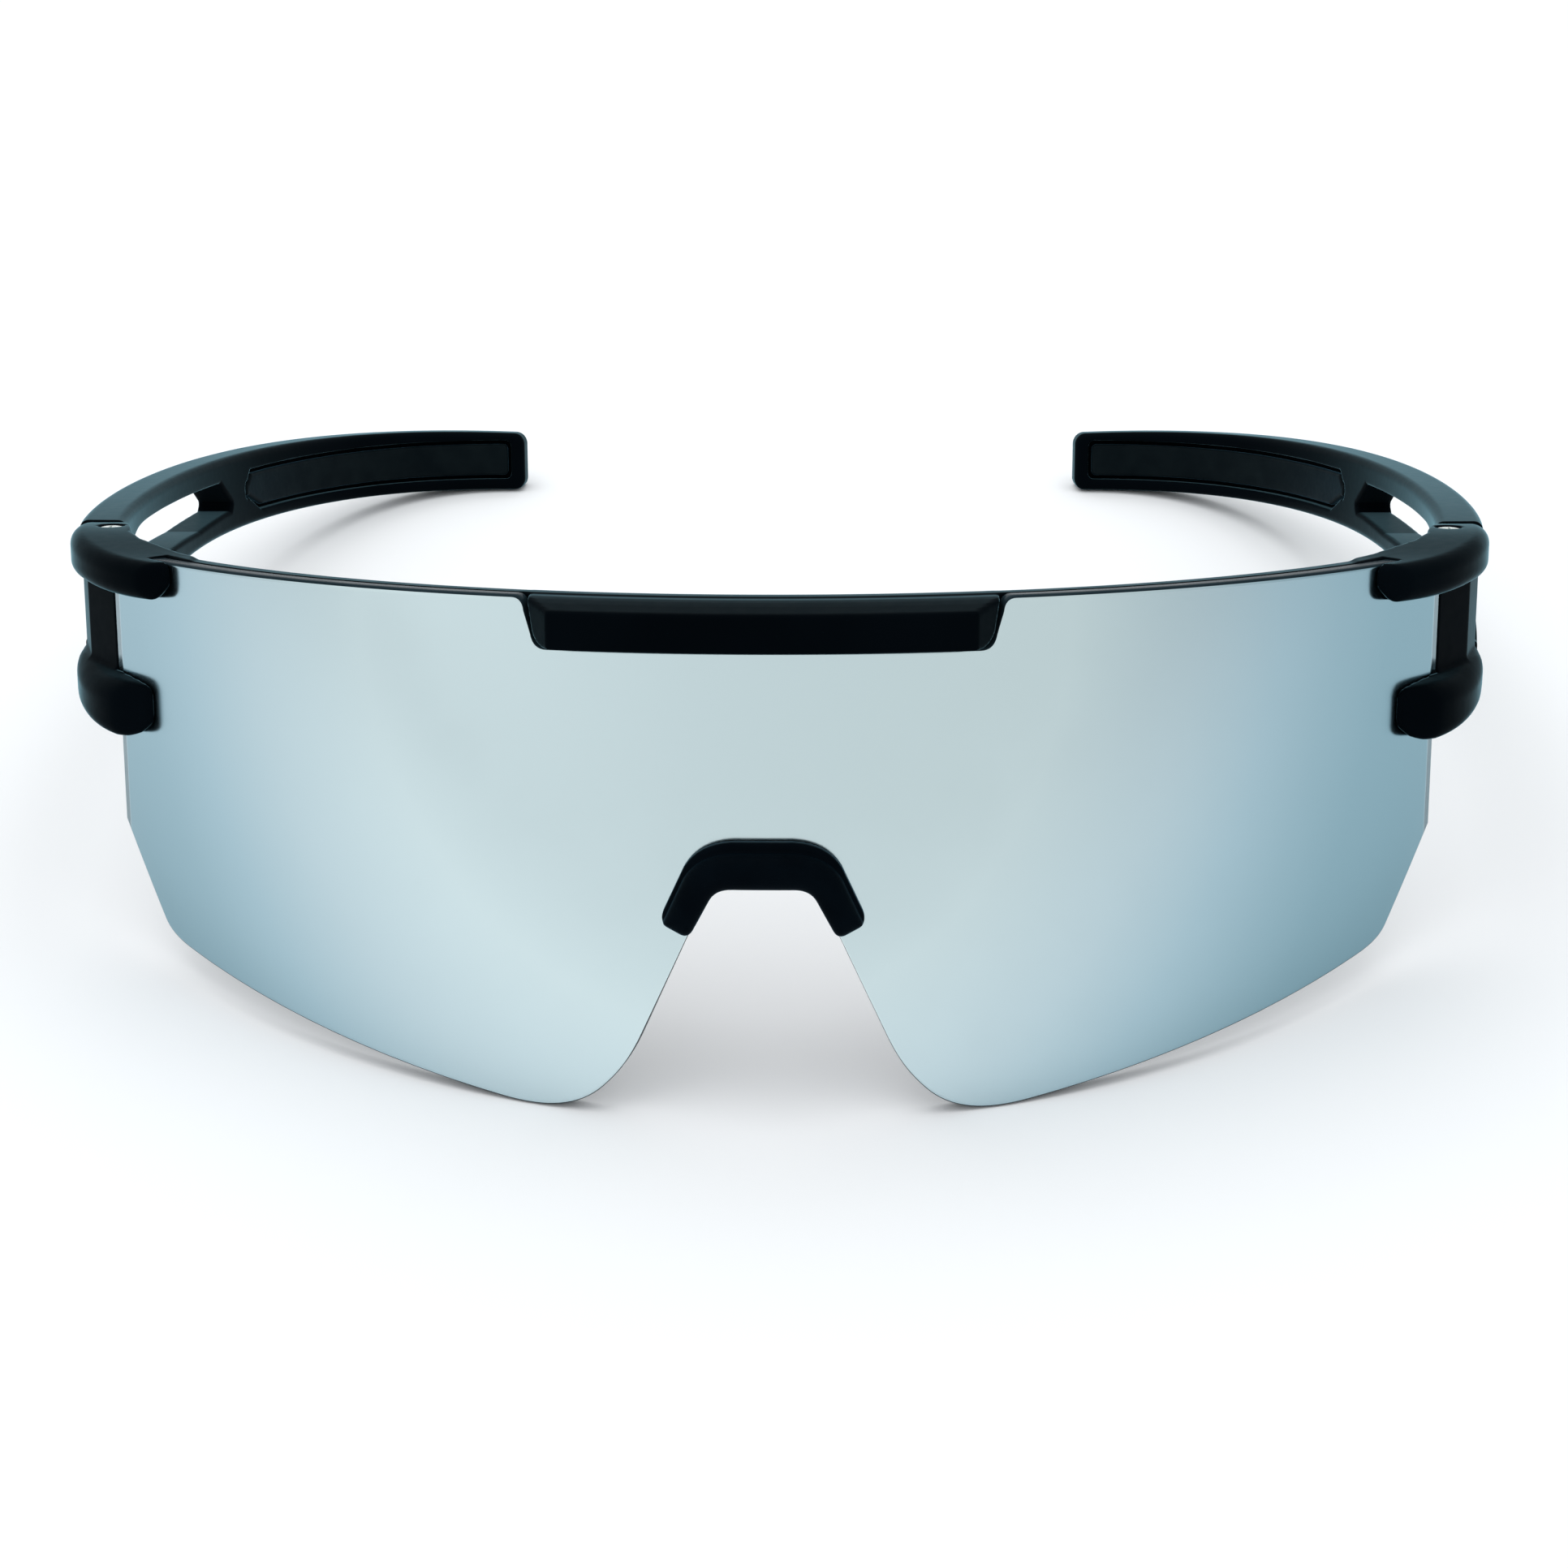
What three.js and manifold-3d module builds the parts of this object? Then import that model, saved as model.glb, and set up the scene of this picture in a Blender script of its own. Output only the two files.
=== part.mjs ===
// Wraparound sport sunglasses: one cylindrical shield lens in a half-rim front, with two folding temples.
// Design frame, millimetres: X across the face (+X is the wearer's left), Y from the lens back towards
// the ears, Z up, origin in the middle of the lens's top front edge. The exported group turns that frame
// so that the glasses stand on a table on their two lens lobes and their two temple tips.
import * as THREE from "three";
import { mergeVertices } from "three/addons/utils/BufferGeometryUtils.js";
import Module from "manifold-3d";

const wasm = await Module();
wasm.setup();

// Lens
const LENS_RADIUS = 85;
const LENS_THICKNESS = 1.8;
const LENS_HALF_WIDTH = 66.5;
const LENS_BOTTOM = -48.1;
const SLOT_GAP = 0.25;
const NOTCH = { halfWidth: 21.8, depth: 4.7 };
const NOSE_CUT = { top: -25.1, halfWidth: 5.7, mouth: 7 };

// Front frame
const BAR = { depth: 1.6, low: -3, high: 0 };
const BLOCK = { proud: 3.6, drop: 0.85, low: -4.35, halfWidth: 21.35, faceHalfWidth: 19.2, back: 4.5 };
const FRONT_HALF_WIDTH = 73.8;
const COVER_START = 61.3;
const UPPER_ARM = { low: -3.3, high: 1.3 };
const LOWER_ARM = { low: -17.2, high: -12.2, rise: 1, shed: 0.22 };
const UPPER_CLAW = { tip: [58.6, 23.1], ridge: [61.5, 22.95] };
const LOWER_CLAW = { tip: [61.6, 26.1], ridge: [64.7, 26.35] };

// Hinges: one upright axis on each side goes through an upper and a lower clevis
const HINGE = { x: 69.3, y: 42.5 };
const PLATE = 1.25;
const SLOT_HEIGHT = 2.1;
const RUN_GAP = 0.25;
const TONGUE_RADIUS = 1.9;
const SEAM = { y: 46, gap: 0.3, knuckle: 3.5, arcEnd: 107 };
const SCREW = { head: 1.22, height: 0.62, shank: 0.7 };
const COUNTERBORE = { radius: 1.35, depth: 0.7 };
const BORE = 0.9;
const INSERT = { outer: 1.35, inner: 0.88, gap: 0.12 };

// Temples
const TEMPLE_CURVE = new THREE.CubicBezierCurve(
  new THREE.Vector2(72.9, 43.2),
  new THREE.Vector2(76, 50),
  new THREE.Vector2(90, 163.6),
  new THREE.Vector2(39.2, 160),
);
const TEMPLE = { top: 1.8, hingeDrop: 0.5, tipDrop: 1.6, tipLow: -7.8, forkDrop: 9.6, forkPower: 5.5 };
const THICKNESS = { front: 5, tip: 4 };
const TIP_ROUND = { start: 0.982, size: 1.5 };
const CHAMFER = 0.7;
const WINDOW_REAR = 109.5;

// Inlaid grips: start, end, point and round are shares of the temple's length
const GRIP = { start: 0.531, end: 0.985, point: 0.042, round: 0.006, low: -6.25, high: -0.7 };
const GRIP_POCKET = { depth: 1.3, groove: 0.45, behind: 0.3 };

// Nose piece
const NOSE = { proud: 2.6, flange: 1.9 };
const BLADE = { length: 4.2, height: 4, thickness: 0.9, root: 0.7 };
const PAD = { setback: 0.7, length: 10, height: 10.4, thickness: 2.6, splay: 22, tilt: 16 };

// Flats where the glasses touch the table
const LAND = 0.25;

const ARC_STEPS = 20;
const FAR = 200;

// --- solids and placed prisms ---

function solid(geometry) {
  const bare = geometry.clone();
  bare.deleteAttribute("normal");
  bare.deleteAttribute("uv");
  const merged = mergeVertices(bare, 1e-4);
  const vertProperties = merged.attributes.position.array;
  const triVerts = new Uint32Array(merged.index.array);
  return new wasm.Manifold(new wasm.Mesh({ numProp: 3, vertProperties, triVerts }));
}

function geometryOf(manifold) {
  const { vertProperties, triVerts } = manifold.getMesh();
  const geometry = new THREE.BufferGeometry();
  geometry.setAttribute("position", new THREE.BufferAttribute(vertProperties, 3));
  geometry.setIndex(new THREE.BufferAttribute(triVerts, 1));
  return geometry;
}

function join(...solids) {
  return solids.reduce((a, b) => a.add(b));
}

function mirrored(manifold) {
  const geometry = geometryOf(manifold).scale(-1, 1, 1);
  geometry.index.array.reverse();
  return solid(geometry);
}

function bothSides(manifold) {
  return join(manifold, mirrored(manifold));
}

function extrude(shape, depth, steps = 1) {
  return new THREE.ExtrudeGeometry(shape, { depth, steps, bevelEnabled: false, curveSegments: ARC_STEPS });
}

// A shape drawn in plan (X, Y), standing from low to high.
function standing(shape, low, high) {
  return solid(extrude(shape, high - low).translate(0, 0, low));
}

// A shape drawn in the front view (X, Z), running from front to back.
function frontCut(shape, front = -FAR, back = FAR) {
  return solid(extrude(shape, back - front).rotateX(Math.PI / 2).translate(0, back, 0));
}

// A shape drawn in the side view (Y, Z), running from the middle outwards.
function sideCut(shape, from = 0, to = FAR) {
  const turn = new THREE.Matrix4().set(0, 0, 1, from, 1, 0, 0, 0, 0, 1, 0, 0, 0, 0, 0, 1);
  return solid(extrude(shape, to - from).applyMatrix4(turn));
}

function box(width, depth, height) {
  return new THREE.BoxGeometry(width, depth, height);
}

// A profile of [radius, height] pairs turned about an upright axis at (x, y).
function turned(profile, { x, y }, segments = 24) {
  const points = profile.map(([radius, height]) => new THREE.Vector2(radius, height));
  return solid(new THREE.LatheGeometry(points, segments).rotateX(Math.PI / 2).translate(x, y, 0));
}

function drum(radius, low, high) {
  return turned([[0, low], [radius, low], [radius, high], [0, high]], HINGE);
}

function outline(points) {
  return new THREE.Shape(points.map(([x, y]) => new THREE.Vector2(x, y)));
}

// A closed outline from its right half, which starts and ends on the centre line.
function bothHalves(path) {
  const right = path.getPoints(ARC_STEPS / 2);
  const left = right.filter((p) => p.x > 1e-6).map((p) => new THREE.Vector2(-p.x, p.y));
  return new THREE.Shape([...right, ...left.reverse()]);
}

// --- the lens's cylinder in plan ---

const CYLINDER_AXIS = { x: 0, y: LENS_RADIUS };
const LENS_INNER = LENS_RADIUS - LENS_THICKNESS;
const LENS_ANGLE = Math.asin(LENS_HALF_WIDTH / LENS_RADIUS);
const BAR_OUTER = LENS_INNER - SLOT_GAP;
const BAR_INNER = BAR_OUTER - BAR.depth;

function onArc(radius, x) {
  return [x, LENS_RADIUS - Math.sqrt(radius * radius - x * x)];
}

function sector(inner, outer, halfAngle) {
  const shape = new THREE.Shape();
  const front = -Math.PI / 2;
  shape.absarc(0, LENS_RADIUS, outer, front - halfAngle, front + halfAngle, false);
  shape.absarc(0, LENS_RADIUS, inner, front + halfAngle, front - halfAngle, true);
  return shape;
}

// The part of a lens-shaped shell between two radii, out to a half angle.
function shell(inner, outer, halfAngle, low, high) {
  return standing(sector(inner, outer, halfAngle), low, high);
}

// --- the table under the standing glasses ---

const LOBE_FOOT = { y: 4.4, z: LENS_BOTTOM };
const TIP_FOOT = { y: 158.9, z: TEMPLE.tipLow };
const TABLE_TILT = Math.atan2(TIP_FOOT.z - LOBE_FOOT.z, TIP_FOOT.y - LOBE_FOOT.y);

function restOnTable(manifold) {
  const below = box(2 * FAR, 2 * FAR, FAR).translate(0, 0, -FAR / 2);
  below.rotateX(TABLE_TILT).translate(0, LOBE_FOOT.y, LOBE_FOOT.z + LAND);
  return manifold.subtract(solid(below));
}

// --- lens ---

function noseCutSide(path, inset) {
  const top = NOSE_CUT.top - inset;
  path.lineTo(NOSE_CUT.mouth - inset, -31.2);
  path.lineTo(NOSE_CUT.halfWidth - inset, -28);
  path.quadraticCurveTo(NOSE_CUT.halfWidth - 1.3 - inset, top, 1.5, top);
  path.lineTo(0, top);
}

function lensOutline() {
  const { halfWidth, depth } = NOTCH;
  const path = new THREE.Path();
  path.moveTo(0, -depth);
  path.lineTo(halfWidth - 2.2, -depth);
  path.quadraticCurveTo(halfWidth - 0.9, -depth, halfWidth - 0.7, 1.4 - depth);
  path.lineTo(halfWidth - 0.1, -1);
  path.quadraticCurveTo(halfWidth, 1, halfWidth + 0.9, 1);
  path.lineTo(LENS_HALF_WIDTH + 4, 1);
  path.lineTo(LENS_HALF_WIDTH + 4, -20.3);
  path.lineTo(61.6, -36.7);
  path.quadraticCurveTo(60.9, -38.1, 58.4, -38.95);
  path.bezierCurveTo(48, -42.6, 36, -45.6, 24.5, LENS_BOTTOM + 0.35);
  path.bezierCurveTo(20.6, LENS_BOTTOM - 0.35, 17.4, LENS_BOTTOM - 0.1, 15, -45.9);
  path.bezierCurveTo(13.2, -44.2, 12.4, -42.8, 11.6, -41.2);
  noseCutSide(path, 0);
  return bothHalves(path);
}

function shieldLens() {
  const blank = shell(LENS_INNER, LENS_RADIUS, LENS_ANGLE, LENS_BOTTOM - 5, 0);
  return restOnTable(blank.intersect(frontCut(lensOutline())));
}

// --- front frame ---

function browBar() {
  return shell(BAR_INNER, BAR_OUTER, LENS_ANGLE, BAR.low, BAR.high);
}

// The block in the middle fills the lens's notch and stands proud of the lens.
function blockPlan() {
  const outer = LENS_RADIUS + BLOCK.proud;
  const faceAngle = Math.asin(BLOCK.faceHalfWidth / outer);
  const front = -Math.PI / 2;
  const [side, sideFront] = onArc(LENS_RADIUS + SLOT_GAP, BLOCK.halfWidth);
  const sideBack = onArc(BAR_INNER, BLOCK.halfWidth)[1];
  const plan = new THREE.Shape();
  plan.absarc(0, LENS_RADIUS, outer, front - faceAngle, front + faceAngle, false);
  plan.lineTo(side, sideFront);
  plan.lineTo(side, sideBack);
  plan.quadraticCurveTo(0, 2 * BLOCK.back - sideBack, -side, sideBack);
  plan.lineTo(-side, sideFront);
  return plan;
}

// What the block's sloping top, which falls from above the lens to the front face, leaves free.
function aboveBlock() {
  const outer = LENS_RADIUS + BLOCK.proud;
  const crest = LENS_RADIUS - 0.8;
  const ridge = BAR.high - BLOCK.drop;
  const ring = [[crest, BAR.high], [outer - 0.4, ridge + 0.25], [outer + 1, ridge - 0.8]];
  return turned([...ring, [outer + 1, BAR.high + 1], [crest, BAR.high + 1], ring[0]], CYLINDER_AXIS, 144);
}

function blockFront() {
  const { halfWidth, low } = BLOCK;
  const path = new THREE.Path();
  path.moveTo(0, BAR.high + 1);
  path.lineTo(halfWidth, BAR.high + 1);
  path.lineTo(halfWidth - 0.6, low + 1.1);
  path.quadraticCurveTo(halfWidth - 0.85, low, halfWidth - 2.1, low);
  path.lineTo(0, low);
  return bothHalves(path);
}

function centreBlock() {
  const body = standing(blockPlan(), BLOCK.low, BAR.high).subtract(aboveBlock());
  return body.intersect(frontCut(blockFront()));
}

// Plan of one arm of an end piece: a claw in front of the lens, round the lens's edge to the hinge.
function armPlan({ tip, ridge }) {
  const shape = new THREE.Shape();
  shape.moveTo(...tip);
  shape.lineTo(...ridge);
  shape.bezierCurveTo(68.5, 27.5, FRONT_HALF_WIDTH - 0.1, 37, FRONT_HALF_WIDTH, SEAM.y);
  shape.lineTo(HINGE.x, SEAM.y);
  shape.absarc(HINGE.x, HINGE.y, SEAM.knuckle, Math.PI / 2, THREE.MathUtils.degToRad(SEAM.arcEnd), false);
  shape.lineTo(HINGE.x - 2.3, HINGE.y - 1);
  shape.lineTo(HINGE.x - 2.8, HINGE.y - 3.2);
  shape.lineTo(...onArc(BAR_INNER, 64.4));
  shape.lineTo(...onArc(BAR_INNER, 59.2));
  shape.lineTo(...onArc(BAR_INNER, tip[0] - 3.4));
  return shape;
}

// The arm's top is level with the brow bar at the claw and rises towards the hinge.
function upperArm() {
  const { low, high } = UPPER_ARM;
  const plan = standing(armPlan(UPPER_CLAW), low - 1, high + 1);
  const side = outline([
    [15, low + 0.1],
    [34, low],
    [SEAM.y + 1, low],
    [SEAM.y + 1, high - 0.2],
    [HINGE.y, high],
    [37, high - 0.1],
    [28, 0.6],
    [24, BAR.high],
    [15, BAR.high],
  ]);
  const front = new THREE.Shape();
  front.moveTo(58.5, -1.4);
  front.lineTo(60.3, low);
  front.lineTo(FRONT_HALF_WIDTH - 2, low);
  front.quadraticCurveTo(FRONT_HALF_WIDTH - 0.3, low, FRONT_HALF_WIDTH, low + 2);
  front.lineTo(FRONT_HALF_WIDTH, high - 1.7);
  front.quadraticCurveTo(FRONT_HALF_WIDTH - 0.2, high, FRONT_HALF_WIDTH - 1.6, high);
  front.lineTo(50, high);
  front.lineTo(50, -1.4);
  return plan.intersect(sideCut(side)).intersect(frontCut(front));
}

function lowerArmFront() {
  const { low, high, rise } = LOWER_ARM;
  const front = new THREE.Shape();
  front.moveTo(56, high - 0.4);
  front.lineTo(60.7, high - 0.6);
  front.lineTo(65.5, high + 0.1);
  front.lineTo(67, high + rise);
  front.lineTo(FRONT_HALF_WIDTH - 1, high + rise);
  front.quadraticCurveTo(FRONT_HALF_WIDTH, high + 0.8, FRONT_HALF_WIDTH, high - 1.2);
  front.quadraticCurveTo(FRONT_HALF_WIDTH - 0.4, low, FRONT_HALF_WIDTH - 3.4, low);
  front.lineTo(66, low - 0.9);
  front.lineTo(64.2, low - 0.85);
  front.lineTo(62.8, low - 0.55);
  front.lineTo(61.4, low + 1);
  front.lineTo(56, low + 1.6);
  return front;
}

// In front of the lens the lower arm's top falls away; behind it, it rises a little to the seam.
function lowerArm() {
  const { low, high, rise, shed } = LOWER_ARM;
  const plan = standing(armPlan(LOWER_CLAW), low - 2, high + 2);
  const side = outline([
    [15, low - 0.9],
    [27, low - 0.9],
    [32, low - 0.5],
    [38, low],
    [SEAM.y + 1, low],
    [SEAM.y + 1, high + rise],
    [38, high + 0.3],
    [27, high + 0.1],
    [15, high + 0.1],
  ]);
  const reach = 7;
  const ring = [[LENS_RADIUS, high], [LENS_RADIUS + reach, high - shed * reach]];
  const above = [...ring, [LENS_RADIUS + reach, high + 3], [LENS_RADIUS, high + 3], ring[0]];
  const body = plan.intersect(sideCut(side)).intersect(frontCut(lowerArmFront()));
  return body.subtract(turned(above, CYLINDER_AXIS, 144));
}

// The upright between the two arms, just outside the lens's edge.
function post() {
  const plan = outline([
    onArc(LENS_RADIUS, LENS_HALF_WIDTH - 1),
    onArc(LENS_RADIUS, 71),
    [72.6, 41.6],
    [72.8, SEAM.y - 0.8],
    [69.8, SEAM.y - 0.8],
    [68.3, 41],
    onArc(BAR_INNER + 1, LENS_HALF_WIDTH - 1.4),
    onArc(BAR_INNER + 1, LENS_HALF_WIDTH - 3.4),
    onArc(BAR_OUTER, LENS_HALF_WIDTH - 2.2),
  ]);
  return standing(plan, LOWER_ARM.high - 0.5, UPPER_ARM.low + 0.5);
}

// The lens runs in this slot, which the cover over its top corner closes.
function lensSlot() {
  const [inner, outer] = [LENS_INNER - SLOT_GAP, LENS_RADIUS + SLOT_GAP];
  const covered = shell(inner, outer, LENS_ANGLE + SLOT_GAP / LENS_RADIUS, LENS_BOTTOM, SLOT_GAP);
  const open = shell(inner, outer, Math.asin(COVER_START / LENS_RADIUS), LENS_BOTTOM, UPPER_ARM.high + 1);
  return join(covered, open);
}

// Levels of a clevis, from the face that the screw goes in, along the way it points.
function clevis(face, way) {
  const at = (depth) => face + way * depth;
  const between = (a, b) => [Math.min(at(a), at(b)), Math.max(at(a), at(b))];
  return { at, between, slot: PLATE, floor: PLATE + SLOT_HEIGHT, end: 2 * PLATE + SLOT_HEIGHT };
}

const CLEVISES = {
  upper: clevis(UPPER_ARM.high, -1),
  lower: clevis(LOWER_ARM.low, 1),
};

function clevisCut({ between, slot, floor, end }) {
  const [low, high] = between(slot, floor);
  const reach = TONGUE_RADIUS + SEAM.gap;
  const [left, right] = [HINGE.x - 9, HINGE.x + reach];
  const [near, rear] = [HINGE.y - reach, SEAM.y + 1];
  const room = outline([[left, near], [right, near], [right, rear], [left, rear]]);
  return join(
    standing(room, low, high),
    drum(COUNTERBORE.radius, ...between(-1, COUNTERBORE.depth)),
    drum(BORE, ...between(0, slot + 0.1)),
    drum(INSERT.outer + INSERT.gap, ...between(floor - 0.1, end + 2)),
  );
}

function endPiece() {
  const whole = join(upperArm(), lowerArm(), post()).subtract(lensSlot());
  return Object.values(CLEVISES).reduce((piece, level) => piece.subtract(clevisCut(level)), whole);
}

function frontFrame() {
  return join(browBar(), centreBlock(), bothSides(endPiece()));
}

// --- hinge hardware ---

// A low domed head that ends level with the clevis's face, on a plain shank.
function hingeScrew({ at, end }) {
  const seat = COUNTERBORE.depth - 0.05;
  const crown = seat - SCREW.height;
  const profile = [
    [0, at(crown)],
    [SCREW.head * 0.6, at(crown + 0.05)],
    [SCREW.head, at(crown + 0.2)],
    [SCREW.head, at(seat)],
    [SCREW.shank, at(seat)],
    [SCREW.shank, at(end - 0.3)],
    [0, at(end - 0.3)],
  ];
  const upwards = at(0) < at(1);
  return turned(upwards ? profile : profile.reverse(), HINGE);
}

function hingeInsert({ between, floor, end }) {
  const [low, high] = between(floor + 0.1, end - 0.1);
  const { inner, outer } = INSERT;
  return turned([[inner, low], [outer, low], [outer, high], [inner, high], [inner, low]], HINGE);
}

// --- temples ---

// A bar of chamfered section that follows the temple's outer face. At each station along it, section(u)
// gives its depths behind that face (near, far), its heights (low, high) and its chamfer.
function alongTemple(stations, section) {
  const half = 0.5;
  const octagon = outline([
    [-1, -half], [-half, -1], [half, -1], [1, -half], [1, half], [half, 1], [-half, 1], [-1, half],
  ]);
  const steps = stations.length - 1;
  const bar = extrude(octagon, steps, steps);
  const position = bar.attributes.position;
  const place = (value, low, high, chamfer) => {
    const cut = Math.abs(value) < 1 ? chamfer : 0;
    return value < 0 ? low + cut : high - cut;
  };
  for (let i = 0; i < position.count; i++) {
    const u = stations[Math.round(position.getZ(i))];
    const { near, far, low, high, chamfer } = section(u);
    const depth = place(position.getX(i), near, far, chamfer);
    const height = place(position.getY(i), low, high, chamfer);
    const outer = TEMPLE_CURVE.getPointAt(u);
    const tangent = TEMPLE_CURVE.getTangentAt(u);
    position.setXYZ(i, outer.x - tangent.y * depth, outer.y + tangent.x * depth, height);
  }
  return solid(bar);
}

function evenly(from, to, steps) {
  return Array.from({ length: steps + 1 }, (_, i) => from + ((to - from) * i) / steps);
}

function thicknessAt(u) {
  return THREE.MathUtils.lerp(THICKNESS.front, THICKNESS.tip, u);
}

function templeSection(u) {
  const past = Math.max(0, (u - TIP_ROUND.start) / (1 - TIP_ROUND.start));
  const inset = TIP_ROUND.size * (1 - Math.sqrt(Math.max(0, 1 - past * past)));
  return {
    near: inset / 2,
    far: thicknessAt(u) - inset / 2,
    low: TEMPLE.tipLow - TEMPLE.forkDrop * (1 - u) ** TEMPLE.forkPower + inset,
    high: TEMPLE.top - TEMPLE.tipDrop * u ** 3 - TEMPLE.hingeDrop * (1 - u) ** 8 - inset,
    chamfer: CHAMFER,
  };
}

// The long opening that splits the temple's front into an upper and a lower prong.
function templeWindow() {
  const floor = LOWER_ARM.high + LOWER_ARM.rise;
  const shape = new THREE.Shape();
  shape.moveTo(SEAM.y - 5, UPPER_ARM.low);
  shape.lineTo(SEAM.y - 5, floor);
  shape.lineTo(SEAM.y + 1.5, floor);
  shape.bezierCurveTo(54, -7.6, 70, -6.2, 95, -6.1);
  shape.lineTo(WINDOW_REAR - 0.7, -5.2);
  shape.lineTo(WINDOW_REAR, -4.3);
  shape.lineTo(WINDOW_REAR - 4.5, -1.3);
  shape.lineTo(65, -1);
  shape.quadraticCurveTo(55, -1, SEAM.y + 4, UPPER_ARM.low);
  return sideCut(shape);
}

function tongue({ between, slot, floor }) {
  const levels = between(slot + RUN_GAP, floor - RUN_GAP);
  const left = HINGE.x - 0.5;
  const right = HINGE.x + TONGUE_RADIUS;
  const rear = SEAM.y + 2;
  const web = outline([[left, HINGE.y], [right, HINGE.y], [right, rear], [left, rear]]);
  const plate = join(standing(web, ...levels), drum(TONGUE_RADIUS, ...levels));
  return plate.subtract(drum(BORE, levels[0] - 1, levels[1] + 1));
}

// The temple starts behind the seam, which turns concentric with the hinge on the inner side.
function seamRoom() {
  const rear = SEAM.y + SEAM.gap;
  const room = outline([[FAR / 4, 0], [FAR / 2, 0], [FAR / 2, rear], [HINGE.x, rear], [FAR / 4, rear]]);
  return join(standing(room, -30, 10), drum(SEAM.knuckle + SEAM.gap, -30, 10));
}

// Height range of the inlaid grip at a station: its front end is a blunt point.
function gripSection(u, inset, near, far) {
  const { start, end } = GRIP;
  const rise = THREE.MathUtils.smoothstep(u, start - 0.012, start + 0.016);
  const fall = THREE.MathUtils.clamp((u - start) / GRIP.point, 0, 1);
  const round = THREE.MathUtils.clamp((end - u) / GRIP.round, 0, 1);
  return {
    near,
    far,
    low: THREE.MathUtils.lerp(-3.5, GRIP.low, fall) + 0.5 * (1 - round) + inset,
    high: THREE.MathUtils.lerp(-3, GRIP.high, rise) - 0.5 * (1 - round) - inset,
    chamfer: 0.1,
  };
}

const GRIP_STATIONS = [
  ...evenly(GRIP.start, GRIP.start + GRIP.point, 6),
  ...evenly(GRIP.start + 0.07, GRIP.end - GRIP.round, 22),
  GRIP.end,
];

function gripPocket() {
  const section = (u) => gripSection(u, 0, thicknessAt(u) - GRIP_POCKET.depth, thicknessAt(u) + 1);
  return alongTemple(GRIP_STATIONS, section);
}

function grip() {
  const { depth, groove, behind } = GRIP_POCKET;
  const shrink = groove / TEMPLE_CURVE.getLength();
  const middle = (GRIP.start + GRIP.end) / 2;
  const scale = 1 - (2 * shrink) / (GRIP.end - GRIP.start);
  const stations = GRIP_STATIONS.map((u) => middle + (u - middle) * scale);
  const floor = depth - behind;
  return alongTemple(stations, (u) => gripSection(u, groove, thicknessAt(u) - floor, thicknessAt(u)));
}

function temple() {
  const stations = [...evenly(0, TIP_ROUND.start, 46), 0.988, 0.994, 0.998, 1];
  const arm = alongTemple(stations, templeSection);
  const cut = join(templeWindow(), seamRoom(), gripPocket());
  const tongues = Object.values(CLEVISES).map(tongue);
  return restOnTable(join(arm.subtract(cut), ...tongues));
}

// --- nose piece ---

function noseBridgeOutline() {
  const path = new THREE.Path();
  path.moveTo(0, -22);
  path.lineTo(2.8, -22);
  path.quadraticCurveTo(5.9, -22.2, 7.2, -24.4);
  path.lineTo(9.1, -28.5);
  path.quadraticCurveTo(9.5, -29.5, 8.8, -29.9);
  path.lineTo(7.5, -30.6);
  path.quadraticCurveTo(6.8, -30.9, 6.4, -30.2);
  path.lineTo(4.9, -27.4);
  path.quadraticCurveTo(4.3, -26.3, 2.9, -26.3);
  path.lineTo(0, -26.3);
  return bothHalves(path);
}

function noseCutShape(inset) {
  const path = new THREE.Path();
  path.moveTo(0, LENS_BOTTOM);
  path.lineTo(NOSE_CUT.mouth, LENS_BOTTOM);
  noseCutSide(path, inset);
  return bothHalves(path);
}

// Places a piece drawn upright and flat behind the bridge's leg: X its thickness, Y backwards, Z up.
function onNoseLeg(geometry) {
  const [tilt, splay] = [-PAD.tilt, -PAD.splay].map(THREE.MathUtils.degToRad);
  const turn = new THREE.Euler(0, tilt, splay, "ZYX");
  const foot = onArc(LENS_INNER - SLOT_GAP - NOSE.flange, 7.6);
  return geometry.applyMatrix4(new THREE.Matrix4().makeRotationFromEuler(turn)).translate(...foot, -27.3);
}

function noseBlade(clearance) {
  const [width, height] = [BLADE.thickness + 2 * clearance, BLADE.height + 2 * clearance];
  const length = BLADE.root + BLADE.length + clearance;
  return solid(onNoseLeg(box(width, length, height).translate(0, length / 2 - BLADE.root, 0)));
}

// A saddle over the top of the nose cut. The lens's edge runs in a groove all round it.
function noseBridge() {
  const back = LENS_INNER - SLOT_GAP - NOSE.flange;
  const blank = shell(back, LENS_RADIUS + NOSE.proud, 0.2, -40, -15);
  const slab = shell(LENS_INNER - SLOT_GAP, LENS_RADIUS + SLOT_GAP, 0.3, -40, -15);
  const groove = slab.subtract(frontCut(noseCutShape(SLOT_GAP)));
  const body = blank.intersect(frontCut(noseBridgeOutline())).subtract(groove);
  return join(body, bothSides(noseBlade(0)));
}

function nosePad() {
  const { setback, length, height, thickness } = PAD;
  const radius = height / 2;
  const middle = setback + length - radius;
  const shape = new THREE.Shape();
  shape.moveTo(setback, -BLADE.height / 2 - 0.8);
  shape.quadraticCurveTo(setback + 1.2, -radius, middle, -radius);
  shape.absarc(middle, 0, radius, -Math.PI / 2, Math.PI / 2, false);
  shape.quadraticCurveTo(setback + 1.2, radius, setback, BLADE.height / 2 + 0.8);
  const turn = new THREE.Matrix4().set(0, 0, 1, -thickness / 2, 1, 0, 0, 0, 0, 1, 0, 0, 0, 0, 0, 1);
  const body = solid(onNoseLeg(extrude(shape, thickness).applyMatrix4(turn)));
  return body.subtract(noseBlade(SLOT_GAP));
}

// --- assembly ---

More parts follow.
